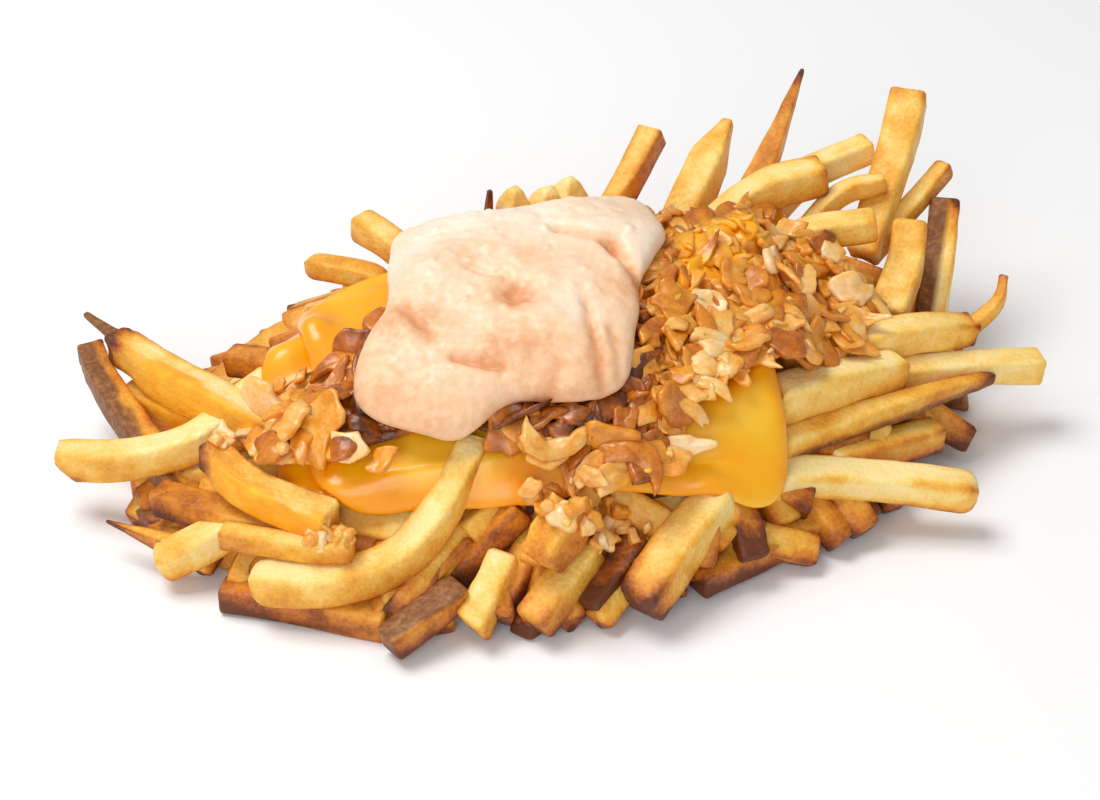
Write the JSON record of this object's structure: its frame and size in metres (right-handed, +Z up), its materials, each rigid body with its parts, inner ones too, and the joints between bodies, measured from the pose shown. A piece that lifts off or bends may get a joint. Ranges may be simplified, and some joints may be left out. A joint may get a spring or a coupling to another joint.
{
  "type": "animal style fries",
  "caption": "Loose heap of fresh-cut potato fries under melted cheese slices, chopped grilled onions and a thick spoonful of pink sauce.",
  "frame": {"origin": "centre of the heap's bounding box, at the level of the table it rests on", "axes": "+Z up from the table, +X along the heap's longer side to the right in the picture, +Y away from the viewer"},
  "size_m": [0.1836, 0.129, 0.05],
  "materials": {
    "fried_potato": "dry golden crust, brown skin on some sides and ends",
    "melted_cheese": "smooth and oily, softly glossy",
    "grilled_onion": "translucent, browned and oily",
    "pink_sauce": "thick and creamy with fine bits, wet"
  },
  "bodies": {
    "root": {"fries": "fried_potato", "cheese_slice_back": "melted_cheese", "cheese_slice_front": "melted_cheese", "grilled_onions": "grilled_onion", "sauce": "pink_sauce"}
  },
  "joints": []
}
